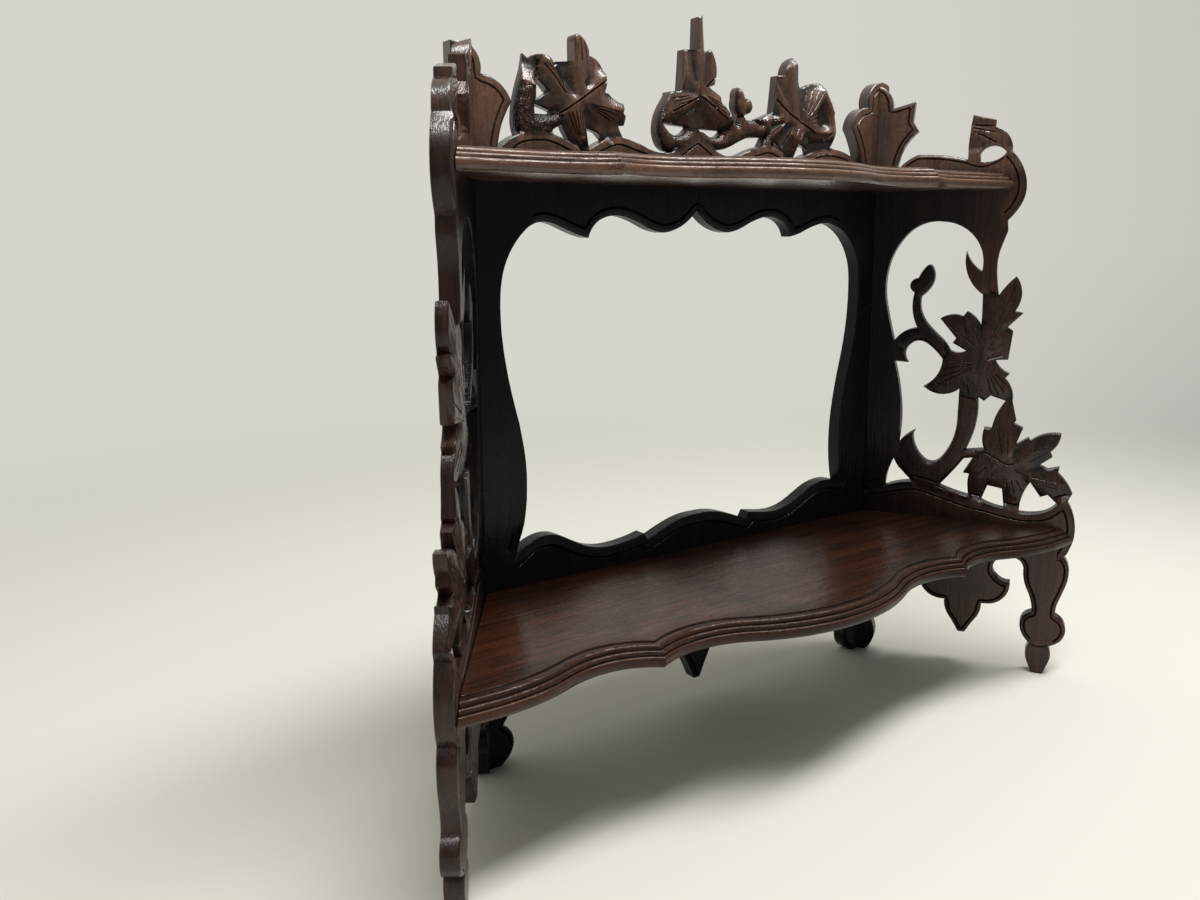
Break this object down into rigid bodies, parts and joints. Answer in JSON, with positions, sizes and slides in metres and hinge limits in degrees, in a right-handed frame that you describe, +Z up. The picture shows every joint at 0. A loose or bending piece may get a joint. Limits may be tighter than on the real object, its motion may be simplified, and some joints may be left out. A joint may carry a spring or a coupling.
{
  "type": "tabletop shelf",
  "caption": "Carved walnut tabletop shelf with pierced vine-leaf back and splayed sides, carrying serpentine moulded shelves for small ornaments.",
  "frame": {"origin": "on the standing surface, under the middle of the object's box", "axes": "+Z up, -Y towards the front, +X to the right as seen from the front"},
  "size_m": [0.5132, 0.154, 0.4635],
  "materials": {
    "walnut": "satin varnish",
    "nail_iron": "dull"
  },
  "bodies": {
    "root": {"back_panel": "walnut", "left_side_panel": "walnut", "right_side_panel": "walnut", "lower_shelf": "walnut", "upper_shelf": "walnut", "lower_shelf_back_nails": "nail_iron", "upper_shelf_back_nails": "nail_iron", "lower_shelf_left_nails": "nail_iron", "upper_shelf_left_nails": "nail_iron", "left_corner_nails": "nail_iron", "lower_shelf_right_nails": "nail_iron", "upper_shelf_right_nails": "nail_iron", "right_corner_nails": "nail_iron"}
  },
  "joints": []
}
